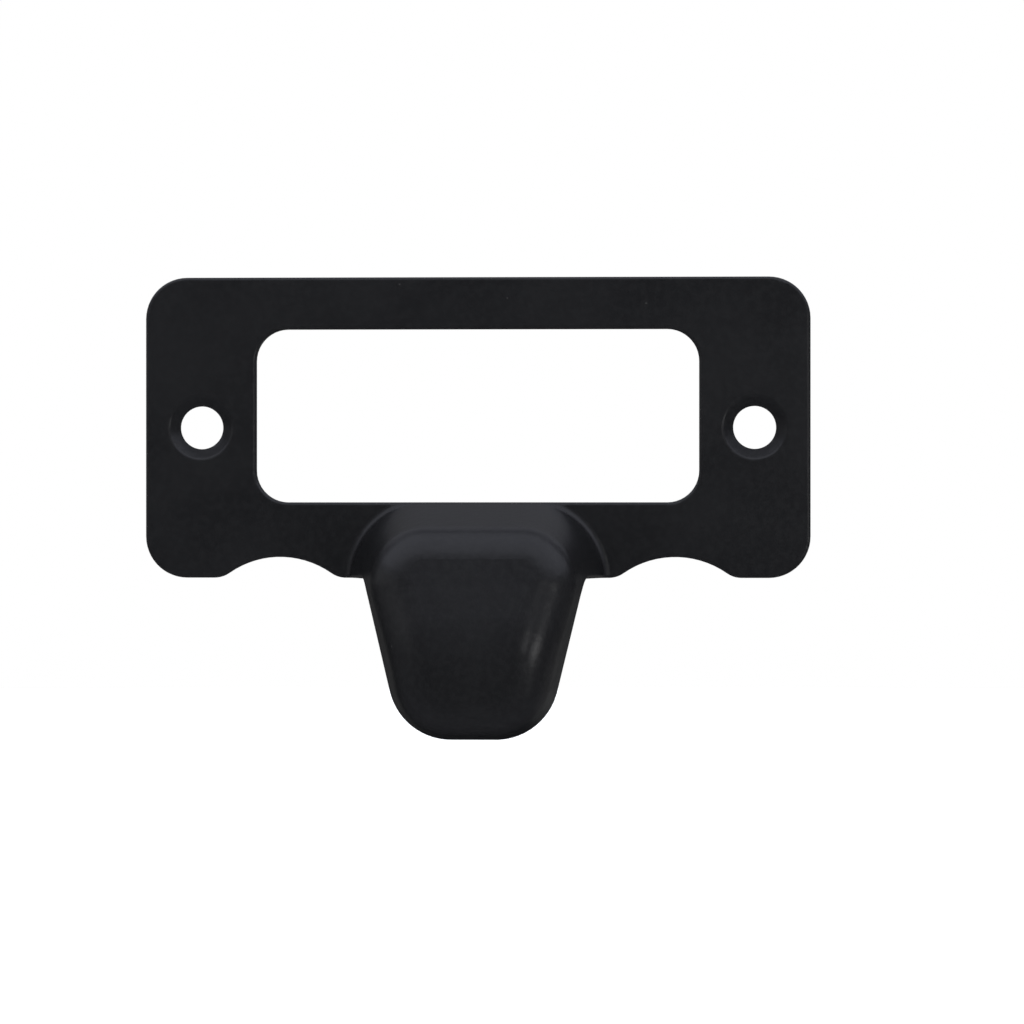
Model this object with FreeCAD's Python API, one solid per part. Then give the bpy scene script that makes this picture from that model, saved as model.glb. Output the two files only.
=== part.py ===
# A label frame pull for a small drawer: a flat plate with a window for a card and two
# countersunk screw holes, and a hollow pull pressed out of the same sheet below the window.
# Lengths are in millimetres and angles in degrees.
# +X is to the right, +Z is up and the front faces -Y.
# The origin lies on the back face, midway between the two screw holes.

import FreeCAD, Part
import math
import os

from FreeCAD import Vector

# Window for the card
WINDOW_WIDTH = 32.0
WINDOW_HEIGHT = 12.5
WINDOW_CORNER_RADIUS = 2.3

# Plate round the window
SHEET = 1.0
SIDE_BORDER = 8.0
TOP_BORDER = 3.75
BOTTOM_BORDER = 5.45
PLATE_CORNER_RADIUS = 3.0

# Screw holes, one in the middle of each side border
SCREW_HOLE_DIAMETER = 3.1
COUNTERSINK_DIAMETER = 4.6
COUNTERSINK_ANGLE = 90.0

# Shallow notches in the lower edge, one on each side of the pull
NOTCH_FROM_PULL = 4.85
NOTCH_DEPTH = 1.5
NOTCH_RADIUS = 6.5
NOTCH_BLEND_RADIUS = 1.8

# Pull, seen from the front
PULL_WIDTH = 18.85
PULL_DROP = 11.3
PULL_RISE = 0.15
SHOULDER_RADIUS = 5.85
SIDE_TAPER = 12.0
TIP_RADIUS = 6.2

# Pull, seen from the side
PULL_REACH = 10.3
CREST_RISE = 5.55
BELLY_RADIUS = 12.75
FACE_LEAN = 14.0
WALL_DRAFT = 18.0
RIM_START = 5.6
RIM_LEAN = 5.0
RIM_CORNER_RADIUS = 1.4

# Bends and rounded edges
PULL_EDGE_RADIUS = 3.2
ROOT_RADIUS = 0.6
FRONT_EDGE_RADIUS = 0.25
BACK_EDGE_RADIUS = 0.2
COUNTERSINK_EDGE_RADIUS = 0.3

# Places and slopes that follow from the sizes above
PLATE_WIDTH = WINDOW_WIDTH + 2 * SIDE_BORDER
PLATE_HEIGHT = TOP_BORDER + WINDOW_HEIGHT + BOTTOM_BORDER
PLATE_TOP = PLATE_HEIGHT / 2
PLATE_BOTTOM = -PLATE_HEIGHT / 2
WINDOW_TOP = PLATE_TOP - TOP_BORDER
WINDOW_BOTTOM = PLATE_BOTTOM + BOTTOM_BORDER
SCREW_SPACING = WINDOW_WIDTH + SIDE_BORDER
NOTCH_OFFSET = PULL_WIDTH / 2 + NOTCH_FROM_PULL
PULL_TOP = WINDOW_BOTTOM + PULL_RISE
TIP_HEIGHT = PLATE_BOTTOM - PULL_DROP
CREST_HEIGHT = TIP_HEIGHT + CREST_RISE
DRAFT_SLOPE = math.tan(math.radians(WALL_DRAFT))
TIP_RIM_REACH = RIM_START + PULL_DROP * math.tan(math.radians(RIM_LEAN))
PULL_FOOT = TIP_HEIGHT - (TIP_RIM_REACH + FRONT_EDGE_RADIUS - SHEET) * DRAFT_SLOPE

# How far the working blocks run past the part, and the distance that counts as touching
BEYOND = 5.0
TOUCHING = 1e-3


def at(x, forward, z):
    """A point given by its distance in front of the back face."""
    return Vector(x, -forward, z)


def polar(centre, radius, angle):
    """A point on a circle, as a pair."""
    turn = math.radians(angle)
    return centre[0] + radius * math.cos(turn), centre[1] + radius * math.sin(turn)


def path(steps, place):
    """A closed wire. Each step is ("line", end) or ("arc", centre, radius, start angle, end angle)."""
    last = steps[-1]
    here = last[1] if last[0] == "line" else polar(last[1], last[2], last[4])
    edges = []
    for step in steps:
        if step[0] == "line":
            end = step[1]
            edges.append(Part.LineSegment(place(here), place(end)).toShape())
        else:
            centre, radius, start, stop = step[1:]
            end = polar(centre, radius, stop)
            middle = polar(centre, radius, (start + stop) / 2)
            edges.append(Part.Arc(place(here), place(middle), place(end)).toShape())
        here = end
    return Part.Wire(edges)


def front_wire(steps, forward):
    return path(steps, lambda p: at(p[0], forward, p[1]))


def front_prism(steps, back, front):
    """A solid with the given front view, from one distance in front of the back face to another."""
    face = Part.Face(front_wire(steps, back))
    return face.extrude(Vector(0, back - front, 0))


def side_prism(steps, half_width):
    """A solid with the given side view, as far to the left as to the right."""
    face = Part.Face(path(steps, lambda p: at(-half_width, p[0], p[1])))
    return face.extrude(Vector(2 * half_width, 0, 0))


def rectangle_steps(half_width, bottom, top, radius):
    """A rectangle with rounded corners, clockwise from the upper left."""
    x, low, high = half_width - radius, bottom + radius, top - radius
    return [
        ("line", (x, top)),
        ("arc", (x, high), radius, 90, 0),
        ("line", (half_width, low)),
        ("arc", (x, low), radius, 0, -90),
        ("line", (-x, bottom)),
        ("arc", (-x, low), radius, 270, 180),
        ("line", (-half_width, high)),
        ("arc", (-x, high), radius, 180, 90),
    ]


def notch(side):
    """The part of the sheet that one notch takes away, with its blends into the lower edge."""
    hollow = (side * NOTCH_OFFSET, PLATE_BOTTOM + NOTCH_DEPTH - NOTCH_RADIUS)
    blend_height = PLATE_BOTTOM + NOTCH_BLEND_RADIUS
    rise = blend_height - hollow[1]
    run = math.sqrt((NOTCH_RADIUS + NOTCH_BLEND_RADIUS) ** 2 - rise**2)
    tilt = math.degrees(math.atan2(rise, run))
    left, right = (hollow[0] - run, blend_height), (hollow[0] + run, blend_height)
    steps = [
        ("line", (left[0], PLATE_BOTTOM)),
        ("arc", left, NOTCH_BLEND_RADIUS, -90, -tilt),
        ("arc", hollow, NOTCH_RADIUS, 180 - tilt, tilt),
        ("arc", right, NOTCH_BLEND_RADIUS, 180 + tilt, 270),
        ("line", (right[0], PLATE_BOTTOM - BEYOND)),
        ("line", (left[0], PLATE_BOTTOM - BEYOND)),
    ]
    return front_prism(steps, -BEYOND, SHEET + BEYOND)


def pull_steps(inset):
    """The pull's outline in the front view, drawn in by a distance from its outline on the plate."""
    taper = math.radians(SIDE_TAPER)
    side = math.cos(taper) * PULL_WIDTH / 2 - math.sin(taper) * PLATE_BOTTOM - inset
    top, foot = PULL_TOP - inset, PULL_FOOT + inset
    shoulder, tip = SHOULDER_RADIUS - inset, TIP_RADIUS - inset
    shoulder_z, tip_z = top - shoulder, foot + tip
    shoulder_x = (side - shoulder + shoulder_z * math.sin(taper)) / math.cos(taper)
    tip_x = (side - tip + tip_z * math.sin(taper)) / math.cos(taper)
    return [
        ("line", (shoulder_x, top)),
        ("arc", (shoulder_x, shoulder_z), shoulder, 90, -SIDE_TAPER),
        ("line", polar((tip_x, tip_z), tip, -SIDE_TAPER)),
        ("arc", (tip_x, tip_z), tip, -SIDE_TAPER, -90),
        ("line", (-tip_x, foot)),
        ("arc", (-tip_x, tip_z), tip, 270, 180 + SIDE_TAPER),
        ("line", polar((-shoulder_x, shoulder_z), shoulder, 180 + SIDE_TAPER)),
        ("arc", (-shoulder_x, shoulder_z), shoulder, 180 + SIDE_TAPER, 90),
    ]


def pull_block(depth):
    """The pull as a solid block: its outer form, or the hollow when drawn in by the sheet's thickness."""
    inset = depth / math.cos(math.radians(WALL_DRAFT))
    back, front = -BEYOND, PULL_REACH + 1
    ends = [
        front_wire(pull_steps(inset + (forward - SHEET) * DRAFT_SLOPE), forward)
        for forward in (back, front)
    ]
    walls = Part.makeLoft(ends, True, True)
    reach, radius = PULL_REACH - depth, BELLY_RADIUS - depth
    belly = (reach - radius, CREST_HEIGHT)
    lean_start = polar(belly, radius, FACE_LEAN)
    face_height = BEYOND - lean_start[1]
    face_top = (lean_start[0] - face_height * math.tan(math.radians(FACE_LEAN)), BEYOND)
    belly_end = polar(belly, radius, -60)
    low = min(belly_end[1], PULL_FOOT) - BEYOND
    profile = [
        ("line", (-BEYOND - 1, BEYOND)),
        ("line", face_top),
        ("line", lean_start),
        ("arc", belly, radius, FACE_LEAN, -60),
        ("line", (belly_end[0], low)),
        ("line", (-BEYOND - 1, low)),
    ]
    front_form = side_prism(profile, PULL_WIDTH)
    block = walls.common(front_form)
    rim = [e for e in block.Edges if on_both(e, walls, front_form)]
    return block.makeFillet(PULL_EDGE_RADIUS - depth, rim)


def middle(edge):
    return Part.Vertex(edge.valueAt((edge.FirstParameter + edge.LastParameter) / 2))


def touches(point, shape):
    return any(face.distToShape(point)[0] < TOUCHING for face in shape.Faces)


def on_both(edge, one, other):
    point = middle(edge)
    return touches(point, one) and touches(point, other)


def standing_on_slab(block, slab_front, root_radius):
    """The block standing on the front of a flat slab, with a rounded root."""
    low, high = PULL_FOOT - BEYOND, PLATE_TOP + BEYOND
    slab = front_prism(
        rectangle_steps(PLATE_WIDTH / 2 + BEYOND, low, high, 1), slab_front - BEYOND, slab_front
    )
    form = slab.fuse(block)
    root = [e for e in form.Edges if on_both(e, block, slab)]
    return form.makeFillet(root_radius, root)


def kept_in_front_view():
    """The plate's outline with its notches, together with everything below that the pull may fill."""
    plate = front_prism(
        rectangle_steps(PLATE_WIDTH / 2, PLATE_BOTTOM, PLATE_TOP, PLATE_CORNER_RADIUS),
        -BEYOND,
        PULL_REACH + BEYOND,
    )
    for side in (-1, 1):
        plate = plate.cut(notch(side))
    pull_zone = front_prism(
        rectangle_steps(PULL_WIDTH / 2, PULL_FOOT - BEYOND, WINDOW_BOTTOM, 1),
        -BEYOND,
        PULL_REACH + BEYOND,
    )
    return plate.fuse(pull_zone)


def kept_in_side_view():
    """The whole plate, and below it only what lies in front of the pull's rim."""
    low, high = PULL_FOOT - BEYOND, PLATE_TOP + BEYOND
    corner = (RIM_START - RIM_CORNER_RADIUS, PLATE_BOTTOM - RIM_CORNER_RADIUS)
    turned = polar(corner, RIM_CORNER_RADIUS, RIM_LEAN)
    rim_end = (turned[0] + (turned[1] - low) * math.tan(math.radians(RIM_LEAN)), low)
    steps = [
        ("line", (corner[0], PLATE_BOTTOM)),
        ("arc", corner, RIM_CORNER_RADIUS, 90, RIM_LEAN),
        ("line", rim_end),
        ("line", (PULL_REACH + BEYOND, low)),
        ("line", (PULL_REACH + BEYOND, high)),
        ("line", (-BEYOND, high)),
        ("line", (-BEYOND, PLATE_BOTTOM)),
    ]
    return side_prism(steps, PLATE_WIDTH)


def screw_hole(x):
    """A countersunk hole's cutter, its cone starting at the plate's front."""
    hole, mouth = SCREW_HOLE_DIAMETER / 2, COUNTERSINK_DIAMETER / 2
    half_angle = math.radians(COUNTERSINK_ANGLE / 2)
    depth = (mouth - hole) / math.tan(half_angle)
    wide = mouth + BEYOND * math.tan(half_angle)
    backward = Vector(0, 1, 0)
    shank = Part.makeCylinder(hole, SHEET + 2 * BEYOND, at(x, SHEET + BEYOND, 0), backward)
    cone = Part.makeCone(wide, hole, BEYOND + depth, at(x, SHEET + BEYOND, 0), backward)
    return shank.fuse(cone)


def rounded_at(shape, radius, *places):
    """The shape with the edges that pass these places rounded, each along its whole smooth run."""
    points = [Part.Vertex(place) for place in places]
    nearest = [min(shape.Edges, key=lambda e: e.distToShape(p)[0]) for p in points]
    return shape.makeFillet(radius, nearest)


def make_frame_pull():
    outer = standing_on_slab(pull_block(0), SHEET, ROOT_RADIUS)
    inner = standing_on_slab(pull_block(SHEET), 0, ROOT_RADIUS + SHEET)
    sheet = outer.cut(inner)
    window = front_prism(
        rectangle_steps(WINDOW_WIDTH / 2, WINDOW_BOTTOM, WINDOW_TOP, WINDOW_CORNER_RADIUS),
        -BEYOND,
        PULL_REACH + BEYOND,
    )
    body = sheet.common(kept_in_side_view()).common(kept_in_front_view()).cut(window)
    for radius, forward in ((FRONT_EDGE_RADIUS, SHEET), (BACK_EDGE_RADIUS, 0)):
        body = rounded_at(body, radius, at(0, forward, WINDOW_TOP))
        body = rounded_at(body, radius, at(0, forward, PLATE_TOP))
    for x in (-SCREW_SPACING / 2, SCREW_SPACING / 2):
        body = body.cut(screw_hole(x))
        lip = polar((x, 0), COUNTERSINK_DIAMETER / 2, 45)
        body = rounded_at(body, COUNTERSINK_EDGE_RADIUS, at(lip[0], SHEET, lip[1]))
    return body


os.makedirs("parts", exist_ok=True)
frame_pull = make_frame_pull()
frame_pull.exportStep("parts/label_frame_pull.step")
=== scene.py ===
import math

import bpy
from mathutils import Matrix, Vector

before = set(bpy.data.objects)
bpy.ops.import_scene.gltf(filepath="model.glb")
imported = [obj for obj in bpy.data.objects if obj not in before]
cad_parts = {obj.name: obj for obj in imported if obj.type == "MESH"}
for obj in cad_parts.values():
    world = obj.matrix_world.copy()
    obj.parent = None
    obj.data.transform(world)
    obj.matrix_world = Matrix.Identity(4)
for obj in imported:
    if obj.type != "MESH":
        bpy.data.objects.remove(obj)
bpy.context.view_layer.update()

# Camera and floor
CAMERA_PLACE = Vector((0.0127, -0.270, -0.0061))
CAMERA_TARGET = Vector((0.00252, -0.001, -0.0061))
FRAME_WIDTH = 0.0738
SENSOR_WIDTH = 36
FLOOR_HEIGHT = -0.160
FLOOR_RADIUS = 3.0
FLOOR_SIDES = 96
FLOOR_COLOUR = (0.9, 0.9, 0.9, 1)
FLOOR_ROUGHNESS = 0.9
FLOOR_GLOW = 0.25
WHITE = (1, 1, 1, 1)

# Room light. The gloss mirrors a dome whose strength steps up with height, from -1 to 1.
ROOM_COLOUR = (0.94, 0.96, 1.0, 1)
GLOSS_COLOUR = (0.90, 0.93, 1.08, 1)
ROOM_STRENGTH = 1.42
ROOM_RISE = 0.45
DOME_LEAN = 0.10
DOME_SPREAD = 0.9
DOME_BACK = 0.75
GLOSS_STEPS = [
    (-1, 0.07), (-0.75, 0.05), (-0.45, 0.005), (-0.15, 0.005), (0, 0.035),
    (0.25, 0.06), (0.45, 0.085), (0.54, 0.15), (0.68, 0.60), (1, 0.72),
]

# Lamps that only the gloss shows: name, place, aim, width, height and power
LAMPS = [
    ("backdrop", (0, 0.45, 0.155), (0, 0, 0.155), 0.8, 0.75, 0.160),
    ("right_side", (0.33, 0.24, -0.20), (0, 0, -0.02), 0.40, 0.22, 0.035),
    ("left_side", (-0.447, -0.04, 0.05), (0, 0, -0.01), 0.80, 0.16, 0.074),
    ("right_front", (0.159, -0.117, -0.029), (0.005, -0.010, -0.015), 0.060, 0.011, 0.0150),
    ("right_low", (0.092, -0.179, 0.003), (0.005, -0.010, -0.015), 0.020, 0.018, 0.006),
]

# Paint colours
DARK_PAINT = (0.0086, 0.0086, 0.0096, 1)
LIGHT_PAINT = (0.0120, 0.0120, 0.0130, 1)
GRAIN_PAINT = (0.0150, 0.0150, 0.0158, 1)
RUBBED_PAINT = (0.020, 0.020, 0.021, 1)
DUST = (0.045, 0.044, 0.042, 1)
GRAIN_COVER = 0.5
RUBBED_COVER = 0.7
DUST_COVER = 0.6

# Paint detail: scales are in cells per metre
CLOUD_SCALE = 120
GRAIN_SCALE = 2600
PEEL_SCALE = 1100
HANDLING_SCALE = 210
HANDLING_STRETCH = (1, 1, 0.45)
HANDLING_ROUGHNESS = 0.62
SHEEN_SCALE = 75
NIB_SCALE = 900
NIB_SIZE = 0.09
NIB_SHARE = 0.06
EDGE_REACH = 0.0004
RUBBED_SCALE = 420

# Gloss and relief
PAINT_IOR = 1.5
ROUGHNESS_LOW, ROUGHNESS_HIGH = 0.275, 0.305
HANDLING_DULLS = 0.045
GRAIN_DULLS = 0.03
RUBBING_POLISHES = -0.07
GRAIN_RELIEF = 0.25
NIB_RELIEF = 0.8
RELIEF_STRENGTH = 0.22
RELIEF_DEPTH = 0.0001


class Nodes:
    """A node tree with short ways to add and join its nodes."""

    def __init__(self, tree):
        self.tree = tree
        self.place = None

    def add(self, kind, values=None, **settings):
        node = self.tree.nodes.new("ShaderNode" + kind)
        for name, setting in settings.items():
            setattr(node, name, setting)
        for name, value in (values or {}).items():
            self.put(node.inputs[name], value)
        return node

    def put(self, socket, value):
        if isinstance(value, bpy.types.NodeSocket):
            self.tree.links.new(value, socket)
        else:
            socket.default_value = value

    def math(self, operation, *values):
        node = self.add("Math", operation=operation)
        for socket, value in zip(node.inputs, values):
            self.put(socket, value)
        return node.outputs["Value"]

    def noise(self, scale, detail=3.0, stretch=(1, 1, 1), roughness=0.5):
        """Noise from 0 to 1 over the object's own coordinates, with cells of about 1/scale metres."""
        if self.place is None:
            self.place = self.add("TexCoord").outputs["Object"]
        moved = self.add("Mapping", {"Vector": self.place, "Scale": stretch}).outputs["Vector"]
        values = {"Vector": moved, "Scale": scale, "Detail": detail, "Roughness": roughness}
        return self.add("TexNoise", values).outputs["Fac"]

    def between(self, value, low, high, start=0.0, end=1.0):
        """The value's run from low to high, spread smoothly over start to end."""
        values = {"Value": value, "From Min": low, "From Max": high, "To Min": start, "To Max": end}
        return self.add("MapRange", values, interpolation_type="SMOOTHSTEP").outputs["Result"]

    def blend(self, factor, first, second):
        """One colour run into another."""
        node = self.add("Mix", data_type="RGBA")
        self.put(node.inputs["Factor"], factor)
        self.put(node.inputs["A"], first)
        self.put(node.inputs["B"], second)
        return node.outputs["Result"]

    def steps(self, value, points):
        """Straight runs between points, each a value from -1 to 1 with what it becomes."""
        node = self.add("FloatCurve", {"Value": self.math("MULTIPLY_ADD", value, 0.5, 0.5)})
        curve = node.mapping.curves[0].points
        for handle, (start, end) in zip(curve, (points[0], points[-1])):
            handle.location = ((start + 1) / 2, end)
        for start, end in points[1:-1]:
            curve.new((start + 1) / 2, end)
        for handle in curve:
            handle.handle_type = "VECTOR"
        node.mapping.update()
        return node.outputs["Value"]

    def light(self, colour, strength):
        values = {"Color": colour, "Strength": strength}
        return self.add("Background", values).outputs["Background"]


def dust_nibs(nodes):
    """1 on the few small specks of dust caught in the paint, and 0 elsewhere."""
    values = {"Vector": nodes.place, "Scale": NIB_SCALE, "Randomness": 1.0}
    cells = nodes.add("TexVoronoi", values, feature="F1").outputs
    chosen = nodes.add("SeparateColor", {"Color": cells["Color"]}).outputs["Red"]
    speck = nodes.between(cells["Distance"], NIB_SIZE, NIB_SIZE * 0.4)
    return nodes.math("MULTIPLY", speck, nodes.math("GREATER_THAN", chosen, 1 - NIB_SHARE))


def rubbed_edges(nodes):
    """1 on the patches of the edges where handling has rubbed the paint, and 0 elsewhere."""
    rounded = nodes.add("Bevel", {"Radius": EDGE_REACH}, samples=6).outputs["Normal"]
    straight = nodes.add("NewGeometry").outputs["True Normal"]
    facing = nodes.add("VectorMath", {0: rounded, 1: straight}, operation="DOT_PRODUCT")
    edge = nodes.between(facing.outputs["Value"], 0.995, 0.90)
    return nodes.math("MULTIPLY", edge, nodes.between(nodes.noise(RUBBED_SCALE, 4), 0.40, 0.62))


def black_paint():
    """Satin black paint on pressed steel: clouded colour, orange peel, dust nibs and rubbed edges."""
    material = bpy.data.materials.new("black_satin_paint")
    material.use_nodes = True
    nodes = Nodes(material.node_tree)
    shader = material.node_tree.nodes["Principled BSDF"]
    shader.inputs["IOR"].default_value = PAINT_IOR

    clouds = nodes.between(nodes.noise(CLOUD_SCALE, 4), 0.3, 0.7)
    grain = nodes.noise(GRAIN_SCALE, 2)
    peel = nodes.noise(PEEL_SCALE, 2)
    marks = nodes.noise(HANDLING_SCALE, 5, HANDLING_STRETCH, HANDLING_ROUGHNESS)
    handling = nodes.between(marks, 0.52, 0.74)
    nib = dust_nibs(nodes)
    rubbed = rubbed_edges(nodes)

    colour = nodes.blend(clouds, DARK_PAINT, LIGHT_PAINT)
    colour = nodes.blend(nodes.between(grain, 0.35, 0.75, 0, GRAIN_COVER), colour, GRAIN_PAINT)
    colour = nodes.blend(nodes.math("MULTIPLY", rubbed, RUBBED_COVER), colour, RUBBED_PAINT)
    colour = nodes.blend(nodes.math("MULTIPLY", nib, DUST_COVER), colour, DUST)
    nodes.put(shader.inputs["Base Color"], colour)

    sheen = nodes.noise(SHEEN_SCALE, 3)
    gloss = nodes.between(sheen, 0.3, 0.7, ROUGHNESS_LOW, ROUGHNESS_HIGH)
    gloss = nodes.math("MULTIPLY_ADD", handling, HANDLING_DULLS, gloss)
    gloss = nodes.math("MULTIPLY_ADD", grain, GRAIN_DULLS, gloss)
    gloss = nodes.math("MULTIPLY_ADD", rubbed, RUBBING_POLISHES, gloss)
    nodes.put(shader.inputs["Roughness"], gloss)

    height = nodes.math("MULTIPLY_ADD", grain, GRAIN_RELIEF, peel)
    height = nodes.math("MULTIPLY_ADD", nib, NIB_RELIEF, height)
    values = {"Height": height, "Strength": RELIEF_STRENGTH, "Distance": RELIEF_DEPTH}
    nodes.put(shader.inputs["Normal"], nodes.add("Bump", values).outputs["Normal"])
    return material


def soft_light(name, place, aim, width, height, power):
    data = bpy.data.lights.new(name, "AREA")
    data.shape = "RECTANGLE"
    data.size, data.size_y = width, height
    data.energy = power
    light = bpy.data.objects.new(name, data)
    bpy.context.scene.collection.objects.link(light)
    light.location = place
    light.rotation_mode = "QUATERNION"
    light.rotation_quaternion = (Vector(aim) - Vector(place)).to_track_quat("-Z", "Y")
    light.visible_camera = False
    light.visible_diffuse = False


def make_world():
    """White to the camera. To the object it is a soft dome, brightest overhead."""
    world = bpy.data.worlds.new("studio")
    world.use_nodes = True
    world.node_tree.nodes.clear()
    nodes = Nodes(world.node_tree)
    split = nodes.add("SeparateXYZ", {"Vector": nodes.add("TexCoord").outputs["Generated"]})
    across, back, up = split.outputs["X"], split.outputs["Y"], split.outputs["Z"]
    spread = nodes.math("MULTIPLY_ADD", nodes.math("MULTIPLY", across, across), DOME_SPREAD, 1)
    rise = nodes.math("MULTIPLY_ADD", across, DOME_LEAN, nodes.math("MULTIPLY", up, spread))
    shade = nodes.math("MULTIPLY_ADD", nodes.math("MAXIMUM", back, 0), -DOME_BACK, 1)

    strength = nodes.math("MULTIPLY", nodes.steps(rise, GLOSS_STEPS), shade)
    mirrored = nodes.light(GLOSS_COLOUR, strength)
    diffuse = nodes.light(ROOM_COLOUR, nodes.math("MULTIPLY_ADD", up, ROOM_RISE, ROOM_STRENGTH))
    seen = nodes.light(WHITE, 1)
    ray = nodes.add("LightPath").outputs
    lit = nodes.add("MixShader", {0: ray["Is Diffuse Ray"], 1: mirrored, 2: diffuse})
    both = nodes.add("MixShader", {0: ray["Is Camera Ray"], 1: lit.outputs["Shader"], 2: seen})
    nodes.add("OutputWorld", {"Surface": both.outputs["Shader"]})
    bpy.context.scene.world = world


def make_floor():
    """A pale disc that the camera sees and the object doesn't."""
    mesh = bpy.data.meshes.new("floor")
    turns = [2 * math.pi * i / FLOOR_SIDES for i in range(FLOOR_SIDES)]
    rim = [(FLOOR_RADIUS * math.cos(t), FLOOR_RADIUS * math.sin(t), FLOOR_HEIGHT) for t in turns]
    mesh.from_pydata(rim, [], [list(range(FLOOR_SIDES))])
    floor = bpy.data.objects.new("floor", mesh)
    bpy.context.scene.collection.objects.link(floor)
    material = bpy.data.materials.new("pale_floor")
    material.use_nodes = True
    shader = material.node_tree.nodes["Principled BSDF"]
    shader.inputs["Base Color"].default_value = FLOOR_COLOUR
    shader.inputs["Roughness"].default_value = FLOOR_ROUGHNESS
    shader.inputs["Emission Color"].default_value = WHITE
    shader.inputs["Emission Strength"].default_value = FLOOR_GLOW
    mesh.materials.append(material)
    floor.visible_glossy = False
    floor.visible_diffuse = False
    floor.visible_shadow = False


def make_camera():
    """The photograph's view, FRAME_WIDTH wide at the target."""
    data = bpy.data.cameras.new("camera")
    distance = (CAMERA_TARGET - CAMERA_PLACE).length
    data.sensor_width = SENSOR_WIDTH
    data.lens = SENSOR_WIDTH * distance / FRAME_WIDTH
    data.clip_start, data.clip_end = 0.01, 10
    camera = bpy.data.objects.new("camera", data)
    bpy.context.scene.collection.objects.link(camera)
    camera.location = CAMERA_PLACE
    camera.rotation_mode = "QUATERNION"
    camera.rotation_quaternion = (CAMERA_TARGET - CAMERA_PLACE).to_track_quat("-Z", "Y")
    bpy.context.scene.camera = camera


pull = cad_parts["label_frame_pull"]
paint = black_paint()
for slot in pull.material_slots:
    slot.material = paint

make_camera()
make_world()
make_floor()
for lamp in LAMPS:
    soft_light(*lamp)
bpy.context.scene.view_settings.view_transform = "Standard"
